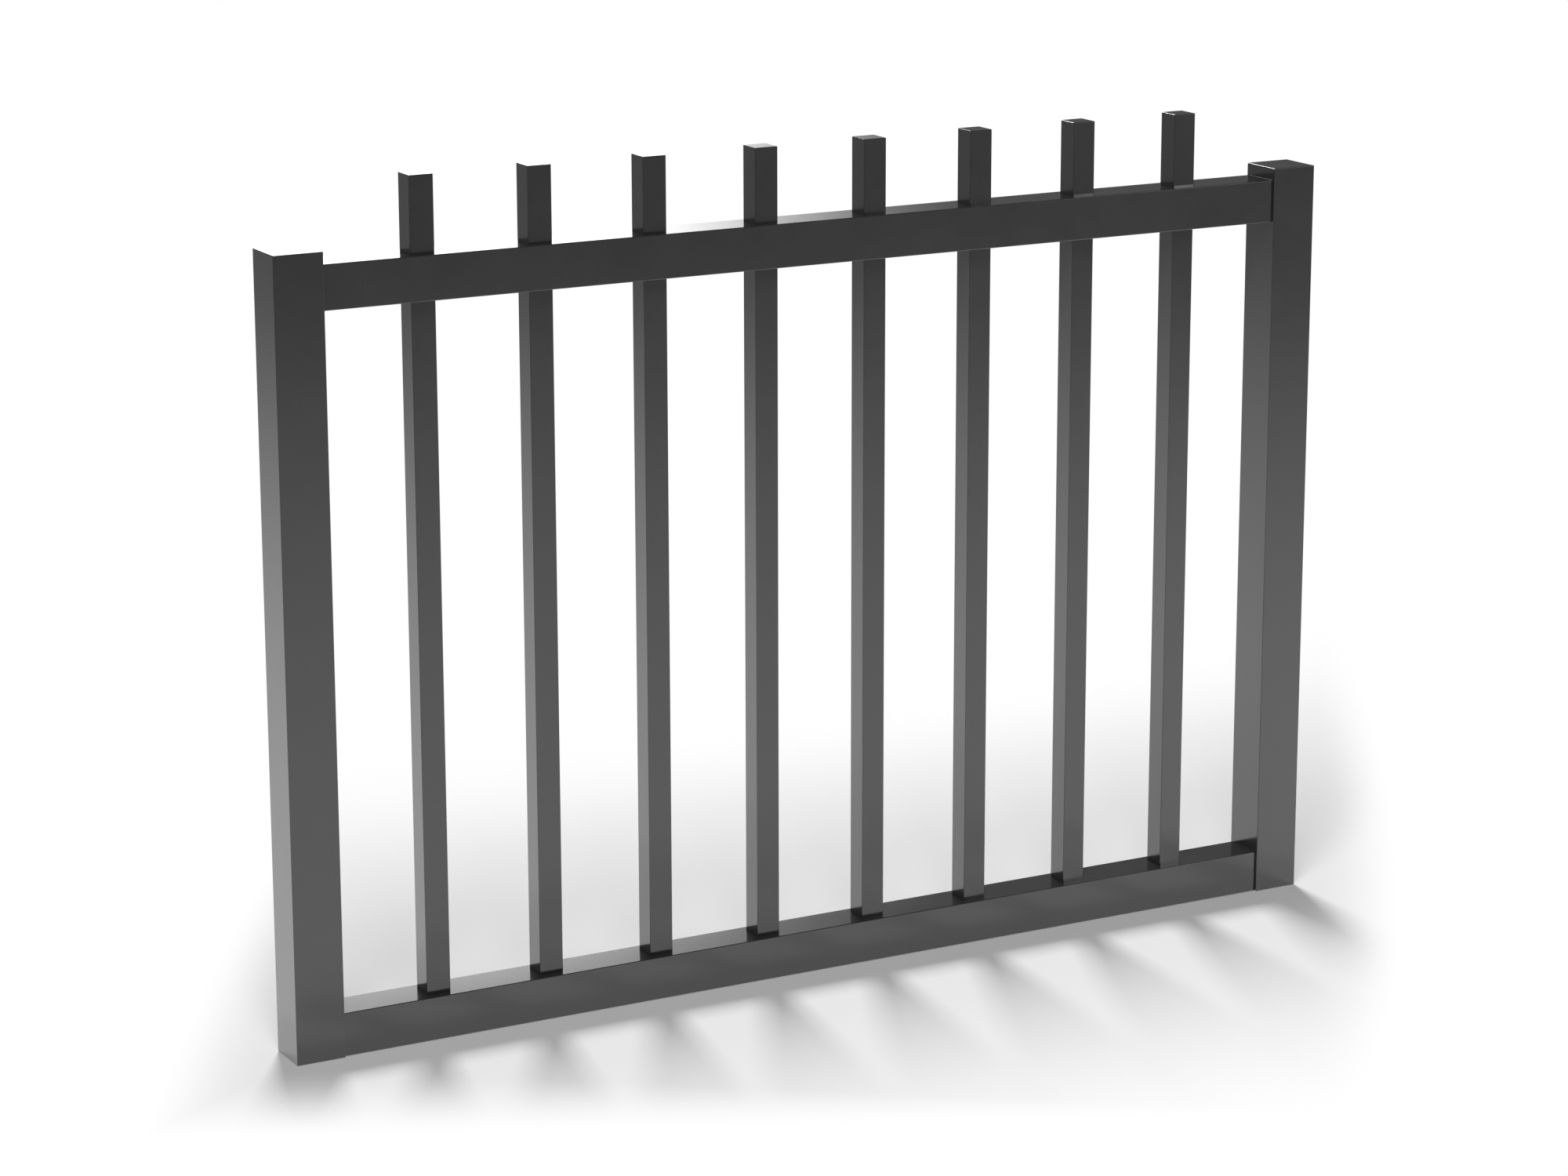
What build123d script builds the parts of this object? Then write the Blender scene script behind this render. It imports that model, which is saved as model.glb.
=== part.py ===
from build123d import *
import os

# Steel walk gate leaf: two stiles, two punched rails and a row of pickets, all of square steel tube.
# Millimetres. X runs from the hinge side to the latch side, Y from the front to the back and Z up.
# The origin is on the outer face of the left stile, halfway up it and at half its depth.

INCH = 25.4

# Driving dimensions of the leaf
LEAF_WIDTH = 46.5 * INCH
STILE_HEIGHT = 31.5 * INCH
TOP_RAIL_DROP = 0.5 * INCH
PICKET_RISE = 3.0 * INCH
PICKET_PITCH = 4.875 * INCH

# Driving dimensions of the square tubes
STILE_SIDE = 2.0 * INCH
STILE_WALL = 3.0
RAIL_SIDE = 1.75 * INCH
RAIL_WALL = 2.0
PICKET_SIDE = 1.0 * INCH
PICKET_WALL = 1.5
CORNER_RADIUS = 0.8
RAIL_END_RADIUS = 0.6
PUNCH_CLEARANCE = 0.25

# Driving dimensions of the flat end caps, each a plate on the tube's end with a skirt driven into its bore
STILE_CAP_PLATE = 3.0
PICKET_CAP_PLATE = 2.0
CAP_EDGE_RADIUS = 0.7
CAP_SKIRT_LENGTH = 12.0
CAP_SKIRT_WALL = 2.0
CAP_SKIRT_CLEARANCE = 0.2

# The largest share of a corner, a wall or a plate that an eased edge can take
EASED_SHARE = 0.9

# Places that follow from the driving dimensions
STILE_FOOT = -STILE_HEIGHT / 2
STILE_TUBE_BASE = STILE_FOOT + STILE_CAP_PLATE
STILE_TUBE_TOP = STILE_FOOT + STILE_HEIGHT - STILE_CAP_PLATE
RAIL_LENGTH = LEAF_WIDTH - 2 * STILE_SIDE
RAIL_MIDDLE = LEAF_WIDTH / 2
BOTTOM_RAIL_LEVEL = STILE_FOOT + RAIL_SIDE / 2
TOP_RAIL_LEVEL = STILE_FOOT + STILE_HEIGHT - TOP_RAIL_DROP - RAIL_SIDE / 2
PICKET_FOOT = STILE_FOOT + RAIL_WALL
PICKET_TUBE_TOP = TOP_RAIL_LEVEL + RAIL_SIDE / 2 + PICKET_RISE - PICKET_CAP_PLATE
PICKET_COUNT = int(RAIL_LENGTH // PICKET_PITCH)
FIRST_PICKET = RAIL_MIDDLE - PICKET_PITCH * (PICKET_COUNT - 1) / 2

UP = (0, 0, 1)
DOWN = (0, 0, -1)


def upright_tube(centre_x, base, top, side, wall):
    """A square tube standing on a level, open at both ends."""
    with BuildPart() as tube:
        with BuildSketch(Plane((centre_x, 0, base))):
            RectangleRounded(side, side, CORNER_RADIUS)
            Rectangle(side - 2 * wall, side - 2 * wall, mode=Mode.SUBTRACT)
        extrude(amount=top - base)
    return tube


def end_cap(centre_x, level, outward, side, wall, plate):
    """A flat plate flush with its tube's sides, eased round the outside, over a square skirt in the bore."""
    seat = Plane((centre_x, 0, level), x_dir=(1, 0, 0), z_dir=outward)
    skirt_side = side - 2 * wall - 2 * CAP_SKIRT_CLEARANCE
    skirt_bore = skirt_side - 2 * CAP_SKIRT_WALL
    eased = min(CAP_EDGE_RADIUS, EASED_SHARE * CORNER_RADIUS, EASED_SHARE * plate)
    with BuildPart() as cap:
        with BuildSketch(seat):
            RectangleRounded(side, side, CORNER_RADIUS)
        extrude(amount=plate)
        outside = cap.faces().sort_by(Axis(seat.origin, seat.z_dir))[-1]
        fillet(outside.edges(), eased)
        with BuildSketch(seat):
            Rectangle(skirt_side, skirt_side)
            Rectangle(skirt_bore, skirt_bore, mode=Mode.SUBTRACT)
        extrude(amount=-CAP_SKIRT_LENGTH)
    return cap


def rail_tube(level, through):
    """A square tube laid between the stiles, punched for the pickets in its upper wall or right through."""
    bore = RAIL_SIDE - 2 * RAIL_WALL
    punch_side = PICKET_SIDE + 2 * PUNCH_CLEARANCE
    eased = min(RAIL_END_RADIUS, EASED_SHARE * CORNER_RADIUS, EASED_SHARE * RAIL_WALL)
    with BuildPart() as tube:
        with BuildSketch(Plane.YZ.offset(STILE_SIDE)):
            with Locations((0, level)):
                RectangleRounded(RAIL_SIDE, RAIL_SIDE, CORNER_RADIUS)
        extrude(amount=RAIL_LENGTH)
        ends = tube.faces().filter_by(Axis.X)
        fillet(ends.edges(), eased)
        with BuildSketch(Plane.YZ.offset(STILE_SIDE)):
            with Locations((0, level)):
                Rectangle(bore, bore)
        extrude(amount=RAIL_LENGTH, mode=Mode.SUBTRACT)
        with BuildSketch(Plane((RAIL_MIDDLE, 0, level))):
            with GridLocations(PICKET_PITCH, 0, PICKET_COUNT, 1):
                RectangleRounded(punch_side, punch_side, CORNER_RADIUS + PUNCH_CLEARANCE)
        extrude(amount=RAIL_SIDE, both=through, mode=Mode.SUBTRACT)
    return tube


def keep(piece, name):
    """Labels a finished piece and writes it to a STEP file of that name."""
    piece.part.label = name
    export_step(piece.part, f"parts/{name}.step")


os.makedirs("parts", exist_ok=True)

# Stiles, closed at the top and the foot by the same flat cap
stile_centres = {"left": STILE_SIDE / 2, "right": LEAF_WIDTH - STILE_SIDE / 2}
for hand, centre_x in stile_centres.items():
    stile = upright_tube(centre_x, STILE_TUBE_BASE, STILE_TUBE_TOP, STILE_SIDE, STILE_WALL)
    top_cap = end_cap(centre_x, STILE_TUBE_TOP, UP, STILE_SIDE, STILE_WALL, STILE_CAP_PLATE)
    foot_cap = end_cap(centre_x, STILE_TUBE_BASE, DOWN, STILE_SIDE, STILE_WALL, STILE_CAP_PLATE)
    keep(stile, f"{hand}_stile")
    keep(top_cap, f"{hand}_stile_top_cap")
    keep(foot_cap, f"{hand}_stile_foot_cap")

# Rails: the pickets pass right through the top one and stand inside the bottom one
top_rail = rail_tube(TOP_RAIL_LEVEL, through=True)
bottom_rail = rail_tube(BOTTOM_RAIL_LEVEL, through=False)
keep(top_rail, "top_rail")
keep(bottom_rail, "bottom_rail")

# Pickets and their caps, evenly spaced about the middle of the leaf
for place in range(PICKET_COUNT):
    centre_x = FIRST_PICKET + PICKET_PITCH * place
    picket = upright_tube(centre_x, PICKET_FOOT, PICKET_TUBE_TOP, PICKET_SIDE, PICKET_WALL)
    picket_cap = end_cap(centre_x, PICKET_TUBE_TOP, UP, PICKET_SIDE, PICKET_WALL, PICKET_CAP_PLATE)
    keep(picket, f"picket_{place + 1}")
    keep(picket_cap, f"picket_{place + 1}_cap")
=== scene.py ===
"""Powder coat and studio stage for a steel walk gate leaf of square tube."""

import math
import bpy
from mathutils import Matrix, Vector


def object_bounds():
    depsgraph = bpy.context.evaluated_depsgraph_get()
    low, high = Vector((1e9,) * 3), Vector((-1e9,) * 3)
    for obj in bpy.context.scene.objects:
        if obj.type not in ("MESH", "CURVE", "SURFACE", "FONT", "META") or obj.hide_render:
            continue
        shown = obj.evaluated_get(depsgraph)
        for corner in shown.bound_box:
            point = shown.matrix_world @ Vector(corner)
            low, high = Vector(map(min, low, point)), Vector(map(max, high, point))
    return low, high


bl_info = {
    "name": "Steel walk gate finish",
    "version": (1, 0, 0),
    "blender": (4, 5, 0),
    "location": "3D View > Sidebar > Walk gate",
    "description": "Powder coats the pieces of a steel walk gate leaf and sets up a studio stage for it",
    "category": "Object",
}

import bpy
from bpy.props import FloatProperty, FloatVectorProperty, PointerProperty
from mathutils import Vector

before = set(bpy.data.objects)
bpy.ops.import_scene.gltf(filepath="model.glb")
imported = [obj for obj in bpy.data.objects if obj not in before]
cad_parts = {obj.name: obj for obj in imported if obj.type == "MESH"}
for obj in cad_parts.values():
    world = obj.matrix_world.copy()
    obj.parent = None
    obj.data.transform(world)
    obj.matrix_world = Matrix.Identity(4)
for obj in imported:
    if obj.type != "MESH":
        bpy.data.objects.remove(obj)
cad_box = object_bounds()

# The level of the gate's feet, its middle and half its width, in metres
FOOT = cad_box[0].z
MIDDLE = (cad_box[0].x + cad_box[1].x) / 2
HALF_WIDTH = (cad_box[1].x - cad_box[0].x) / 2

# Where each group of pieces starts in the noise, so that no two groups drift alike
STILE_PATTERN = (0.0, 0.0, 0.0)
RAIL_PATTERN = (0.31, 0.17, 0.43)
PICKET_PATTERN = (0.73, 0.59, 0.11)
CAP_PATTERN = (0.23, 0.83, 0.67)

# Detail of each noise, and the middle and the usual spread of its values
DRIFT_DETAIL = 3.0
PEEL_DETAIL = 1.0
GRAIN_DETAIL = 2.0
NOISE_MIDDLE = 0.5
NOISE_SPREAD = 0.2

# Lamps and mirrored panels: place, with its height taken from the gate's feet, and size, in metres,
# and the height on the gate at which they point
BACK_LAMP = ((1.65, 3.47, 2.9), (1.2, 1.6))
FRONT_LAMP = ((-1.2, -2.5, 5.4), (2.0, 2.5))
EDGE_GLOW = ((0.9, 3.47, 3.33), (1.4, 0.5))
SIDE_GLOW = ((3.8, -3.3, 1.5), (1.5, 1.2))
AIM_HEIGHT = 0.4

# Far card, a painted reflection that glows only in the coat: its left end, its height and how far behind
# the gate it stands, in metres
CARD_LEFT = 2.4
CARD_HEIGHT = 3.8
CARD_BEHIND = 10.0

# Floor: how far it lies under the gate's feet, in metres, so that no faces share a plane, and its roughness
FLOOR_GAP = 0.0002
FLOOR_ROUGHNESS = 0.9

# Turns of the sheets of the stage
FLAT = (0.0, 0.0, 0.0)
UPRIGHT = (math.radians(90.0), 0.0, 0.0)

WHITE = (1.0, 1.0, 1.0, 1.0)

# Camera: width of its sensor in millimetres and how far it sees in metres
SENSOR_WIDTH = 36.0
CAMERA_REACH = 500.0

# Spacing of the nodes in the node editor
NODE_COLUMN = 200
NODE_ROW = 300
NODES_IN_ROW = 8


class CoatProperties(bpy.types.PropertyGroup):
    """Colour and texture of the black powder coat."""

    colour: FloatVectorProperty(
        name="Colour",
        description="Colour of the powder coat",
        subtype="COLOR",
        min=0.0,
        max=1.0,
        default=(0.031, 0.031, 0.0315),
    )
    mottle: FloatProperty(
        name="Mottle",
        description="How far the colour drifts lighter and darker over the coat",
        subtype="FACTOR",
        min=0.0,
        max=1.0,
        default=0.12,
    )
    mottle_size: FloatProperty(
        name="Mottle size",
        description="Distance over which the colour and the sheen drift",
        unit="LENGTH",
        min=0.001,
        default=0.045,
    )
    roughness: FloatProperty(
        name="Roughness",
        description="Mean roughness of the satin surface",
        subtype="FACTOR",
        min=0.0,
        max=1.0,
        default=0.22,
    )
    roughness_drift: FloatProperty(
        name="Roughness drift",
        description="How far the roughness drifts either way from its mean",
        subtype="FACTOR",
        min=0.0,
        max=0.5,
        default=0.02,
    )
    refraction: FloatProperty(
        name="Refractive index",
        description="Refractive index of the coat and of its skin, which sets how strongly they mirror",
        min=1.0,
        max=2.5,
        default=1.55,
    )
    skin: FloatProperty(
        name="Skin",
        description="How much of a smooth skin the cured coat has over its pigment",
        subtype="FACTOR",
        min=0.0,
        max=1.0,
        default=1.0,
    )
    skin_roughness: FloatProperty(
        name="Skin roughness",
        description="Roughness of the smooth skin",
        subtype="FACTOR",
        min=0.0,
        max=1.0,
        default=0.09,
    )
    peel_size: FloatProperty(
        name="Orange peel size",
        description="Width of the ripples of the orange peel",
        unit="LENGTH",
        min=0.0001,
        default=0.0024,
    )
    peel_depth: FloatProperty(
        name="Orange peel depth",
        description="Height of the ripples of the orange peel",
        unit="LENGTH",
        min=0.0,
        default=0.000004,
    )
    grain_size: FloatProperty(
        name="Grain size",
        description="Width of the fine grain of the powder",
        unit="LENGTH",
        min=0.0001,
        default=0.0006,
    )
    grain_depth: FloatProperty(
        name="Grain depth",
        description="Height of the fine grain of the powder",
        unit="LENGTH",
        min=0.0,
        default=0.0000007,
    )


class StageProperties(bpy.types.PropertyGroup):
    """Floor, lamps, mirrored panels and camera."""

    floor_colour: FloatVectorProperty(
        name="Floor colour",
        description="Colour of the floor",
        subtype="COLOR",
        min=0.0,
        max=1.0,
        default=(0.93, 0.93, 0.93),
    )
    floor_side: FloatProperty(
        name="Floor side",
        description="Side of the square floor",
        unit="LENGTH",
        min=4.0,
        default=120.0,
    )
    fade_start: FloatProperty(
        name="Fade start",
        description="Distance from the middle of the shaded floor at which it starts to fade to white",
        unit="LENGTH",
        min=0.0,
        default=0.54,
    )
    fade_end: FloatProperty(
        name="Fade end",
        description="Distance from the middle of the shaded floor at which it is all white",
        unit="LENGTH",
        min=0.1,
        default=1.14,
    )
    fade_back: FloatProperty(
        name="Fade back",
        description="How far behind the gate the middle of the shaded floor lies",
        unit="LENGTH",
        default=0.5,
    )
    fade_slant: FloatProperty(
        name="Fade slant",
        description="How far the shaded floor leans to the right for each metre behind the gate",
        default=0.62,
    )
    fade_left: FloatProperty(
        name="Fade left",
        description="How far in from the left end of the gate the shaded floor starts",
        unit="LENGTH",
        min=0.0,
        default=0.03,
    )
    side_haste: FloatProperty(
        name="Side haste",
        description="How many times sooner the floor fades at the gate's ends than in front and behind",
        min=1.0,
        default=6.2,
    )
    apron_turn: FloatProperty(
        name="Apron turn",
        description="Turn of the straight line in front of the gate past which the floor is white",
        unit="ROTATION",
        default=math.radians(25.2),
    )
    apron_start: FloatProperty(
        name="Apron start",
        description="Distance of that line from the middle of the gate where the floor starts to fade",
        unit="LENGTH",
        min=0.0,
        default=0.283,
    )
    apron_end: FloatProperty(
        name="Apron end",
        description="Distance of that line from the middle of the gate where the floor is all white",
        unit="LENGTH",
        min=0.1,
        default=0.468,
    )
    rear_start: FloatProperty(
        name="Rear start",
        description="Distance behind the gate at which the floor starts to fade along its whole width",
        unit="LENGTH",
        min=0.0,
        default=0.5,
    )
    rear_end: FloatProperty(
        name="Rear end",
        description="Distance behind the gate at which the floor is all white",
        unit="LENGTH",
        min=0.1,
        default=1.05,
    )
    surround: FloatProperty(
        name="Surround",
        description="Brightness of the dim studio that the coat mirrors above the floor",
        subtype="FACTOR",
        min=0.0,
        max=1.0,
        default=0.095,
    )
    fill: FloatProperty(
        name="Fill",
        description="Brightness of the light that reaches the stage from all round",
        subtype="FACTOR",
        min=0.0,
        max=1.0,
        default=0.03,
    )
    back_power: FloatProperty(
        name="Back lamp",
        description="Power of the soft box behind the gate",
        unit="POWER",
        min=0.0,
        default=178.0,
    )
    front_power: FloatProperty(
        name="Front lamp",
        description="Power of the soft box over the front of the gate",
        unit="POWER",
        min=0.0,
        default=158.0,
    )
    # The far card is a painted reflection: it glows only where the coat mirrors it, brighter at its left.
    painted_glow_level: FloatProperty(
        name="Glow level",
        description="Brightness of the left of the far card that the tops of the rails and caps mirror",
        min=0.0,
        default=2.62,
    )
    painted_glow_start: FloatProperty(
        name="Glow start",
        description="How far to the right the far card starts to darken",
        unit="LENGTH",
        default=4.77,
    )
    painted_glow_end: FloatProperty(
        name="Glow end",
        description="How far to the right the far card is as dim as the studio",
        unit="LENGTH",
        default=7.2,
    )
    edge_power: FloatProperty(
        name="Edge glow",
        description="Power of the high panel that the left edges of the caps mirror",
        unit="POWER",
        min=0.0,
        default=55.0,
    )
    side_power: FloatProperty(
        name="Side glow",
        description="Power of the low panel to the right of the gate's front",
        unit="POWER",
        min=0.0,
        default=13.0,
    )
    # Painted light: in the coat's reflection the floor's shadow is lightened by mixing in white.
    painted_shadow_lift: FloatProperty(
        name="Shadow lift",
        description="How far the gate's own shadow is lightened where the coat mirrors the floor",
        subtype="FACTOR",
        min=0.0,
        max=1.0,
        default=0.5,
    )
    # Painted reflection: the floor's white, as the coat mirrors it, is a painted pool of light that dims
    # away from the gate and brightens towards the right in front.
    painted_pool_start: FloatProperty(
        name="Pool start",
        description="Distance from the gate at which the floor's reflection starts to dim",
        unit="LENGTH",
        min=0.0,
        default=0.3,
    )
    painted_pool_reach: FloatProperty(
        name="Pool reach",
        description="Distance from the gate past which the floor's reflection dims no further",
        unit="LENGTH",
        min=0.5,
        default=4.8,
    )
    painted_pool_far: FloatProperty(
        name="Pool far level",
        description="Brightness of the floor's reflection past that distance",
        subtype="FACTOR",
        min=0.0,
        max=1.0,
        default=0.2,
    )
    painted_pool_gain: FloatProperty(
        name="Pool gain",
        description="How much brighter the floor's reflection is in the front faces at the right end",
        subtype="FACTOR",
        min=0.0,
        max=1.0,
        default=0.22,
    )
    painted_pool_lean: FloatProperty(
        name="Pool lean",
        description="How far right the edge of that brighter part goes for each metre in front of the gate",
        min=0.0,
        default=0.4,
    )
    painted_gain_start: FloatProperty(
        name="Gain start",
        description="How far to the right along the gate the floor's reflection starts to brighten",
        unit="LENGTH",
        default=0.7,
    )
    painted_gain_end: FloatProperty(
        name="Gain end",
        description="How far to the right along the gate the floor's reflection is brightest",
        unit="LENGTH",
        default=1.7,
    )
    camera_place: FloatVectorProperty(
        name="Camera place",
        description="Where the camera stands",
        subtype="TRANSLATION",
        unit="LENGTH",
        default=(-1.45177, -3.710995, 1.072346),
    )
    camera_turn: FloatVectorProperty(
        name="Camera turn",
        description="Which way the camera points",
        subtype="EULER",
        unit="ROTATION",
        default=(math.radians(76.07746), 0.0, math.radians(-28.83326)),
    )
    camera_lens: FloatProperty(
        name="Lens",
        description="Focal length on a sensor 36 mm wide",
        unit="CAMERA",
        min=1.0,
        default=98.0223,
    )
    camera_shift: FloatVectorProperty(
        name="Lens shift",
        description="Shift of the lens across and up, as a share of the picture's width",
        size=2,
        default=(-0.020124, -0.011091),
    )


def arrange(tree):
    """Spreads a tree's nodes out in rows, in the order in which they were made."""
    for count, node in enumerate(tree.nodes):
        row, column = divmod(count, NODES_IN_ROW)
        node.location = (column * NODE_COLUMN, -row * NODE_ROW)


def noise(tree, coordinates, size, detail):
    """A noise texture whose cells are a given size in metres."""
    texture = tree.nodes.new("ShaderNodeTexNoise")
    texture.inputs["Scale"].default_value = 1.0 / size
    texture.inputs["Detail"].default_value = detail
    tree.links.new(coordinates, texture.inputs["Vector"])
    return texture.outputs["Fac"]


def relief(tree, height, depth, below):
    """A bump of a given depth in metres, laid over another bump where there is one."""
    bump = tree.nodes.new("ShaderNodeBump")
    bump.inputs["Distance"].default_value = depth
    tree.links.new(height, bump.inputs["Height"])
    if below:
        tree.links.new(below, bump.inputs["Normal"])
    return bump.outputs["Normal"]


def powder_coat(name, coat, pattern):
    """Satin powder coat: faint drift in colour and sheen, with fine grain over orange peel."""
    material = bpy.data.materials.new(name)
    material.use_nodes = True
    material.diffuse_color = (*coat.colour, 1.0)
    tree = material.node_tree
    shader = tree.nodes["Principled BSDF"]
    shader.inputs["IOR"].default_value = coat.refraction
    shader.inputs["Coat Weight"].default_value = coat.skin
    shader.inputs["Coat Roughness"].default_value = coat.skin_roughness
    shader.inputs["Coat IOR"].default_value = coat.refraction
    place = tree.nodes.new("ShaderNodeTexCoord")
    mapping = tree.nodes.new("ShaderNodeMapping")
    mapping.inputs["Location"].default_value = pattern
    tree.links.new(place.outputs["Object"], mapping.inputs["Vector"])
    spot = mapping.outputs["Vector"]

    drift = noise(tree, spot, coat.mottle_size, DRIFT_DETAIL)
    shade = tree.nodes.new("ShaderNodeValToRGB")
    for end, sign in zip(shade.color_ramp.elements, (-1.0, 1.0)):
        end.position = NOISE_MIDDLE + NOISE_SPREAD * sign
        end.color = [*(part * (1.0 + sign * coat.mottle) for part in coat.colour), 1.0]
    tree.links.new(drift, shade.inputs["Fac"])
    tree.links.new(shade.outputs["Color"], shader.inputs["Base Color"])

    sheen = tree.nodes.new("ShaderNodeMapRange")
    sheen.inputs["From Min"].default_value = NOISE_MIDDLE - NOISE_SPREAD
    sheen.inputs["From Max"].default_value = NOISE_MIDDLE + NOISE_SPREAD
    sheen.inputs["To Min"].default_value = coat.roughness - coat.roughness_drift
    sheen.inputs["To Max"].default_value = coat.roughness + coat.roughness_drift
    tree.links.new(drift, sheen.inputs["Value"])
    tree.links.new(sheen.outputs["Result"], shader.inputs["Roughness"])

    peel = noise(tree, spot, coat.peel_size, PEEL_DETAIL)
    grain = noise(tree, spot, coat.grain_size, GRAIN_DETAIL)
    rippled = relief(tree, peel, coat.peel_depth, None)
    grained = relief(tree, grain, coat.grain_depth, rippled)
    tree.links.new(grained, shader.inputs["Normal"])
    tree.links.new(grained, shader.inputs["Coat Normal"])
    arrange(tree)
    return material


def coat_nodes(names, material):
    """Gives a material to CAD nodes."""
    for name in names:
        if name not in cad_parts:
            raise RuntimeError(f"the gate has no piece named {name}")
        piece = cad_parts[name]
        piece.data.materials.clear()
        piece.data.materials.append(material)


def names_like(start, end):
    """The names of the pieces that start and end in given words."""
    found = sorted(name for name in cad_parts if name.startswith(start) and name.endswith(end))
    if not found:
        raise RuntimeError(f"the gate has no pieces named {start} ... {end}")
    return found


class WALKGATE_OT_coat_stiles(bpy.types.Operator):
    """Powder coat the two stiles"""

    bl_idname = "walkgate.coat_stiles"
    bl_label = "Coat the stiles"

    def execute(self, context):
        coat = powder_coat("stile_coat", context.scene.walkgate_coat, STILE_PATTERN)
        coat_nodes(["left_stile", "right_stile"], coat)
        return {"FINISHED"}


class WALKGATE_OT_coat_rails(bpy.types.Operator):
    """Powder coat the top and bottom rails"""

    bl_idname = "walkgate.coat_rails"
    bl_label = "Coat the rails"

    def execute(self, context):
        coat = powder_coat("rail_coat", context.scene.walkgate_coat, RAIL_PATTERN)
        coat_nodes(["top_rail", "bottom_rail"], coat)
        return {"FINISHED"}


class WALKGATE_OT_coat_pickets(bpy.types.Operator):
    """Powder coat the row of pickets"""

    bl_idname = "walkgate.coat_pickets"
    bl_label = "Coat the pickets"

    def execute(self, context):
        coat = powder_coat("picket_coat", context.scene.walkgate_coat, PICKET_PATTERN)
        caps = names_like("picket_", "_cap")
        coat_nodes([name for name in names_like("picket_", "") if name not in caps], coat)
        return {"FINISHED"}


class WALKGATE_OT_coat_caps(bpy.types.Operator):
    """Powder coat the flat caps of the stiles and pickets"""

    bl_idname = "walkgate.coat_caps"
    bl_label = "Coat the caps"

    def execute(self, context):
        coat = powder_coat("cap_coat", context.scene.walkgate_coat, CAP_PATTERN)
        coat_nodes(names_like("", "_cap"), coat)
        return {"FINISHED"}


def calculate(tree, operation, *terms):
    """A math node over numbers and sockets."""
    node = tree.nodes.new("ShaderNodeMath")
    node.operation = operation
    for socket, term in zip(node.inputs, terms):
        if isinstance(term, bpy.types.NodeSocket):
            tree.links.new(term, socket)
        else:
            socket.default_value = term
    return node.outputs["Value"]


def outside(tree, across, half):
    """How far a place is outside a strip of a given half width."""
    across = calculate(tree, "ABSOLUTE", across)
    past = calculate(tree, "SUBTRACT", across, half)
    return calculate(tree, "MAXIMUM", past, 0.0)


def length(tree, across, along, stretch):
    """The distance made by two steps at right angles, the first of them stretched."""
    across = calculate(tree, "MULTIPLY", across, stretch)
    square = calculate(tree, "MULTIPLY", across, across)
    square = calculate(tree, "MULTIPLY_ADD", along, along, square)
    return calculate(tree, "SQRT", square)


def ease(tree, value, start, end, low, high):
    """A smooth change from one level to another as a value passes between two places."""
    change = tree.nodes.new("ShaderNodeMapRange")
    change.interpolation_type = "SMOOTHSTEP"
    change.inputs["From Min"].default_value = start
    change.inputs["From Max"].default_value = end
    change.inputs["To Min"].default_value = low
    change.inputs["To Max"].default_value = high
    tree.links.new(value, change.inputs["Value"])
    return change.outputs["Result"]


def floor_fade(tree, axes, across, stage):
    """How far the floor has faded to the white background, from 0 near the gate to 1 further off."""
    behind = axes.outputs["Y"]
    leaning = calculate(tree, "MULTIPLY_ADD", behind, -stage.fade_slant, across)
    leaning = calculate(tree, "SUBTRACT", leaning, stage.fade_left / 2)
    leaning = outside(tree, leaning, HALF_WIDTH - stage.fade_left / 2)
    along = calculate(tree, "SUBTRACT", behind, stage.fade_back)
    hurried = length(tree, leaning, along, stage.side_haste)
    zone = ease(tree, hurried, stage.fade_start, stage.fade_end, 0.0, 1.0)

    ahead = calculate(tree, "MULTIPLY", across, -math.sin(stage.apron_turn))
    ahead = calculate(tree, "MULTIPLY_ADD", behind, -math.cos(stage.apron_turn), ahead)
    apron = ease(tree, ahead, stage.apron_start, stage.apron_end, 0.0, 1.0)

    rear = ease(tree, behind, stage.rear_start, stage.rear_end, 0.0, 1.0)
    fade = calculate(tree, "MAXIMUM", zone, apron)
    return calculate(tree, "MAXIMUM", fade, rear)


def floor_white_and_painted_reflection(tree, axes, across, glossy, stage):
    """How bright the floor's white is: 1 to the camera, and a painted reflection where the coat mirrors it,
    dimmer away from the gate and brighter to the right in front.
    """
    behind = axes.outputs["Y"]
    distance = length(tree, outside(tree, across, HALF_WIDTH), behind, 1.0)
    # Painted reflection: for reflected rays only, the floor's white dims with distance from the gate.
    painted_loss = ease(tree, distance, stage.painted_pool_start, stage.painted_pool_reach, 0.0, 1.0 - stage.painted_pool_far)
    painted_dimming = calculate(tree, "MULTIPLY", glossy, painted_loss)
    level = calculate(tree, "SUBTRACT", 1.0, painted_dimming)

    # Painted reflection: for reflected rays only, the floor's white is brighter to the right in front of
    # the gate.
    rightward = calculate(tree, "MULTIPLY_ADD", behind, stage.painted_pool_lean, axes.outputs["X"])
    painted_gain = ease(tree, rightward, stage.painted_gain_start, stage.painted_gain_end, 0.0, stage.painted_pool_gain)
    painted_gain = calculate(tree, "MULTIPLY", painted_gain, glossy)
    return calculate(tree, "MULTIPLY_ADD", level, painted_gain, level)


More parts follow.
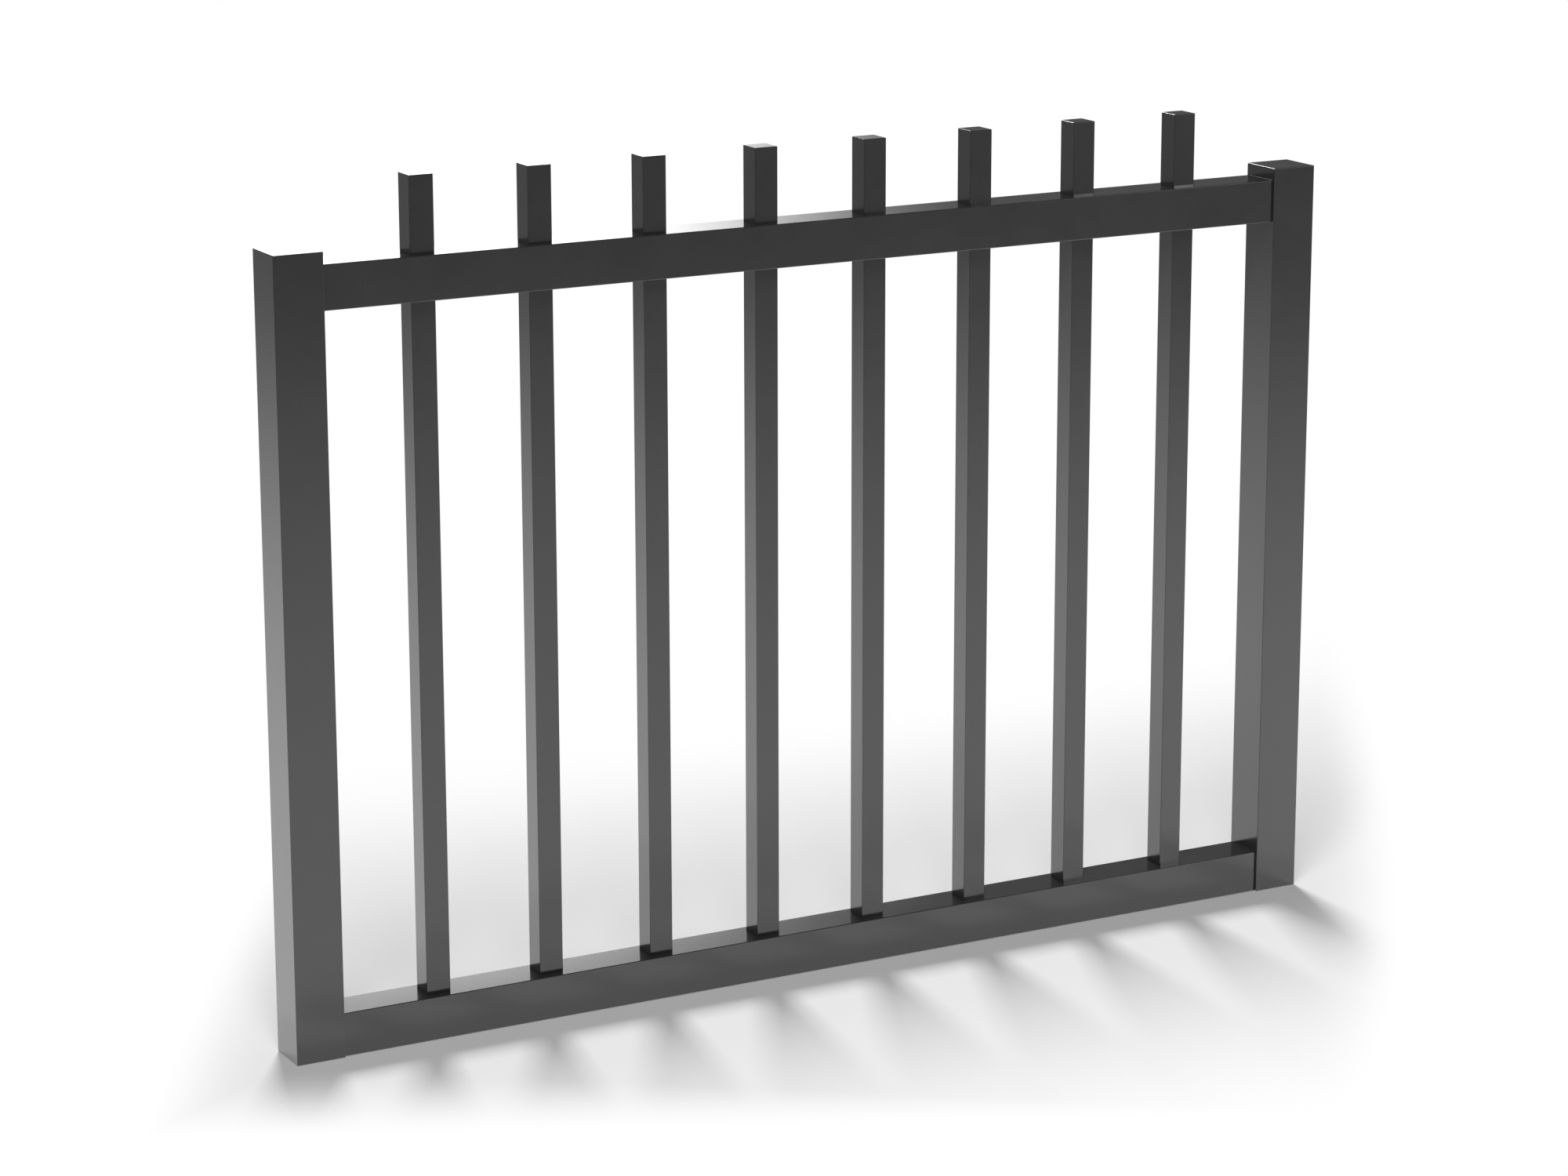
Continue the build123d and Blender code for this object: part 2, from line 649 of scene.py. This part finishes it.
def floor_material(stage):
    """A pale floor that takes the gate's shadow near it and fades to a white background further off; in the
    coat's reflections it shows a painted pool of light and a painted lift of the gate's shadow.
    """
    material = bpy.data.materials.new("pale_floor")
    material.use_nodes = True
    tree = material.node_tree
    paint = tree.nodes["Principled BSDF"]
    paint.inputs["Base Color"].default_value = (*stage.floor_colour, 1.0)
    paint.inputs["Roughness"].default_value = FLOOR_ROUGHNESS
    paint.inputs["Specular IOR Level"].default_value = 0.0
    place = tree.nodes.new("ShaderNodeTexCoord")
    axes = tree.nodes.new("ShaderNodeSeparateXYZ")
    tree.links.new(place.outputs["Object"], axes.inputs["Vector"])
    across = calculate(tree, "SUBTRACT", axes.outputs["X"], MIDDLE)
    path = tree.nodes.new("ShaderNodeLightPath")
    glossy = path.outputs["Is Glossy Ray"]

    # The floor's white: strength 1 to the camera, a painted reflection to reflected rays.
    white = tree.nodes.new("ShaderNodeEmission")
    level = floor_white_and_painted_reflection(tree, axes, across, glossy, stage)
    tree.links.new(level, white.inputs["Strength"])

    seen = calculate(tree, "MAXIMUM", path.outputs["Is Camera Ray"], glossy)
    seen = calculate(tree, "MAXIMUM", seen, path.outputs["Is Transmission Ray"])
    # Painted light: reflected rays see the floor's shadow at least this much lightened by the white.
    painted_lift = calculate(tree, "MULTIPLY", glossy, stage.painted_shadow_lift)
    cover = calculate(tree, "MAXIMUM", painted_lift, floor_fade(tree, axes, across, stage))
    cover = calculate(tree, "MULTIPLY", seen, cover)
    mix = tree.nodes.new("ShaderNodeMixShader")
    tree.links.new(cover, mix.inputs["Fac"])
    tree.links.new(paint.outputs["BSDF"], mix.inputs[1])
    tree.links.new(white.outputs["Emission"], mix.inputs[2])
    tree.links.new(mix.outputs["Shader"], tree.nodes["Material Output"].inputs["Surface"])
    arrange(tree)
    return material


def sheet(name, width, depth, place, turn, material):
    """A flat sheet of the stage."""
    bpy.ops.object.select_all(action="DESELECT")
    bpy.ops.mesh.primitive_plane_add(size=1.0, location=place, rotation=turn)
    made = bpy.context.object
    made.name = name
    made.scale = (width, depth, 1.0)
    bpy.ops.object.transform_apply(location=True, rotation=True, scale=True)
    made.data.materials.append(material)
    return made


def painted_reflection_card(stage):
    """A card far behind the gate that glows only in the coat's reflections, bright at its left and dim at
    its right: a painted reflection, not a lamp.
    """
    material = bpy.data.materials.new("glow")
    material.use_nodes = True
    tree = material.node_tree
    tree.nodes.remove(tree.nodes["Principled BSDF"])
    place = tree.nodes.new("ShaderNodeTexCoord")
    axes = tree.nodes.new("ShaderNodeSeparateXYZ")
    tree.links.new(place.outputs["Object"], axes.inputs["Vector"])
    light = tree.nodes.new("ShaderNodeEmission")
    # Painted reflection: the card's glow fades from its left to its right.
    share = ease(tree, axes.outputs["X"], stage.painted_glow_start, stage.painted_glow_end, 1.0, 0.0)
    share = calculate(tree, "MULTIPLY", share, share)
    rise = stage.painted_glow_level - stage.surround
    level = calculate(tree, "MULTIPLY_ADD", share, rise, stage.surround)
    tree.links.new(level, light.inputs["Strength"])
    tree.links.new(light.outputs["Emission"], tree.nodes["Material Output"].inputs["Surface"])
    arrange(tree)
    width = stage.painted_glow_end - CARD_LEFT
    middle = (CARD_LEFT + width / 2, CARD_BEHIND, FOOT + CARD_HEIGHT / 2)
    card = sheet("painted_reflection_card", width, CARD_HEIGHT, middle, UPRIGHT, material)
    card.visible_camera = False
    card.visible_diffuse = False
    card.visible_shadow = False


def studio_world(stage):
    """A dim studio whose background is white to the camera, as the floor is."""
    world = bpy.data.worlds.new("dim_studio")
    world.use_nodes = True
    tree = world.node_tree
    path = tree.nodes.new("ShaderNodeLightPath")
    seen = calculate(tree, "MAXIMUM", path.outputs["Is Camera Ray"], path.outputs["Is Transmission Ray"])
    mirrored = calculate(tree, "MULTIPLY", path.outputs["Is Glossy Ray"], stage.surround)
    level = calculate(tree, "MAXIMUM", mirrored, stage.fill)
    level = calculate(tree, "MAXIMUM", seen, level)
    background = tree.nodes["Background"]
    background.inputs["Color"].default_value = WHITE
    tree.links.new(level, background.inputs["Strength"])
    arrange(tree)
    return world


def soft_box(name, box, power, mirrored):
    """A rectangular lamp that points at the gate: it lights the stage, or is only mirrored in the coat."""
    (right, back, height), size = box
    place = Vector((right, back, FOOT + height))
    target = Vector((MIDDLE, 0.0, FOOT + AIM_HEIGHT))
    aim = (target - place).to_track_quat("-Z", "Y").to_euler()
    bpy.ops.object.select_all(action="DESELECT")
    bpy.ops.object.light_add(type="AREA", location=place, rotation=aim)
    lamp = bpy.context.object
    lamp.name = name
    lamp.data.shape = "RECTANGLE"
    lamp.data.size, lamp.data.size_y = size
    lamp.data.energy = power
    lamp.visible_camera = False
    lamp.visible_diffuse = not mirrored
    lamp.visible_glossy = mirrored


class WALKGATE_OT_set_stage(bpy.types.Operator):
    """Lay the floor, hang the lamps and stand the camera"""

    bl_idname = "walkgate.set_stage"
    bl_label = "Set the stage"

    def execute(self, context):
        scene = context.scene
        stage = scene.walkgate_stage
        side = stage.floor_side
        sheet("floor", side, side, (MIDDLE, 0.0, FOOT - FLOOR_GAP), FLAT, floor_material(stage))
        soft_box("back_lamp", BACK_LAMP, stage.back_power, mirrored=False)
        soft_box("front_lamp", FRONT_LAMP, stage.front_power, mirrored=False)
        painted_reflection_card(stage)
        soft_box("edge_glow", EDGE_GLOW, stage.edge_power, mirrored=True)
        soft_box("side_glow", SIDE_GLOW, stage.side_power, mirrored=True)
        scene.world = studio_world(stage)

        bpy.ops.object.camera_add(location=stage.camera_place, rotation=stage.camera_turn)
        camera = context.object
        camera.name = "camera"
        camera.data.sensor_width = SENSOR_WIDTH
        camera.data.lens = stage.camera_lens
        camera.data.shift_x, camera.data.shift_y = stage.camera_shift
        camera.data.clip_end = CAMERA_REACH
        scene.camera = camera
        scene.view_settings.view_transform = "Standard"
        return {"FINISHED"}


class WALKGATE_PT_panel(bpy.types.Panel):
    """Steps and settings of the gate's finish"""

    bl_idname = "WALKGATE_PT_panel"
    bl_label = "Walk gate"
    bl_space_type = "VIEW_3D"
    bl_region_type = "UI"
    bl_category = "Walk gate"

    def draw(self, context):
        layout = self.layout
        for step in STEPS:
            layout.operator(step.bl_idname)
        for settings in (context.scene.walkgate_coat, context.scene.walkgate_stage):
            column = layout.column()
            for name in settings.__annotations__:
                column.prop(settings, name)


STEPS = (
    WALKGATE_OT_coat_stiles,
    WALKGATE_OT_coat_rails,
    WALKGATE_OT_coat_pickets,
    WALKGATE_OT_coat_caps,
    WALKGATE_OT_set_stage,
)
CLASSES = (CoatProperties, StageProperties, *STEPS, WALKGATE_PT_panel)


def register():
    for cls in CLASSES:
        bpy.utils.register_class(cls)
    bpy.types.Scene.walkgate_coat = PointerProperty(type=CoatProperties)
    bpy.types.Scene.walkgate_stage = PointerProperty(type=StageProperties)


def unregister():
    del bpy.types.Scene.walkgate_stage
    del bpy.types.Scene.walkgate_coat
    for cls in reversed(CLASSES):
        bpy.utils.unregister_class(cls)


def main():
    """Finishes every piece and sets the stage."""
    register()
    bpy.ops.walkgate.coat_stiles()
    bpy.ops.walkgate.coat_rails()
    bpy.ops.walkgate.coat_pickets()
    bpy.ops.walkgate.coat_caps()
    bpy.ops.walkgate.set_stage()


if __name__ == "__main__":
    main()
